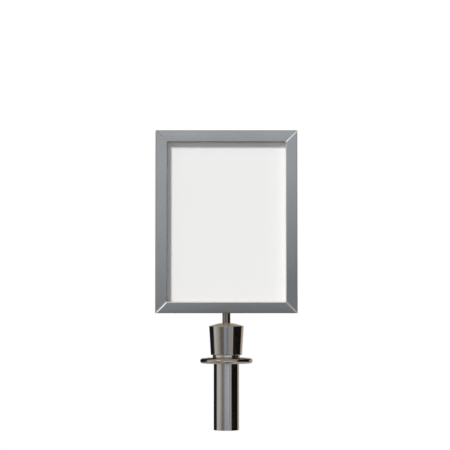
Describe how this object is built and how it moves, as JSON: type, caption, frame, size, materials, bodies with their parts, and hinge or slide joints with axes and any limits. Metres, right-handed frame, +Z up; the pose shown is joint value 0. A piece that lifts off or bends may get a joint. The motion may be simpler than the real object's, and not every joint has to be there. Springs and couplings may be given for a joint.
{
  "type": "stanchion post top with sign frame",
  "caption": "Swivelling sign frame on a flared post head with a rope ring and a short length of round tube; clear lenses and a blank sheet lift out of the frame's top slot.",
  "frame": {"origin": "centre of the post tube's cut lower end", "axes": "+Z up along the post, sign faces -Y (front) and +Y, X across the sign"},
  "size_m": [0.2838, 0.105, 0.598],
  "materials": {
    "satin_steel": "satin, brushed round the axis",
    "polished_ring": "fine satin, nearly polished",
    "plain_steel": "turned, unpolished",
    "zinc_steel": "zinc plated",
    "black_screw": "black oxide",
    "satin_aluminium": "brushed lengthwise, clear anodised",
    "mill_aluminium": "mill finish",
    "nylon": "natural",
    "pad_rubber": "matt",
    "clear_acrylic": "clear acrylic, gloss",
    "white_card": "matt white card, blank"
  },
  "bodies": {
    "post": {"post_tube": "satin_steel", "post_plug": "plain_steel", "centre_stud": "zinc_steel", "rope_ring": "polished_ring", "neck_collar": "satin_steel", "head_body": "satin_steel", "head_cap": "satin_steel", "stem_socket": "plain_steel", "thrust_pad": "nylon", "stem_grub_screw": "black_screw"},
    "sign_frame": {"stem": "satin_steel", "stem_plate": "plain_steel", "stem_screw": "black_screw", "rail_left": "satin_aluminium", "rail_right": "satin_aluminium", "rail_bottom": "satin_aluminium", "rail_top_front": "satin_aluminium", "rail_top_back": "satin_aluminium", "corner_keys_front": "mill_aluminium", "corner_keys_back": "mill_aluminium", "lens_pads": "pad_rubber"},
    "front_lens": {"front_lens": "clear_acrylic"},
    "back_lens": {"back_lens": "clear_acrylic"},
    "sign_sheet": {"sign_sheet": "white_card"}
  },
  "joints": [
    {"name": "sign_swivel", "type": "hinge", "parent": "post", "child": "sign_frame", "pos_m": [0, 0, 0.19], "axis": [0, 0, 1], "continuous": true},
    {"name": "front_lens_slide", "type": "slide", "parent": "sign_frame", "child": "front_lens", "axis": [0, 0, 1], "range_m": [0, 0.33]},
    {"name": "back_lens_slide", "type": "slide", "parent": "sign_frame", "child": "back_lens", "axis": [0, 0, 1], "range_m": [0, 0.33]},
    {"name": "sign_sheet_slide", "type": "slide", "parent": "sign_frame", "child": "sign_sheet", "axis": [0, 0, 1], "range_m": [0, 0.33]}
  ]
}
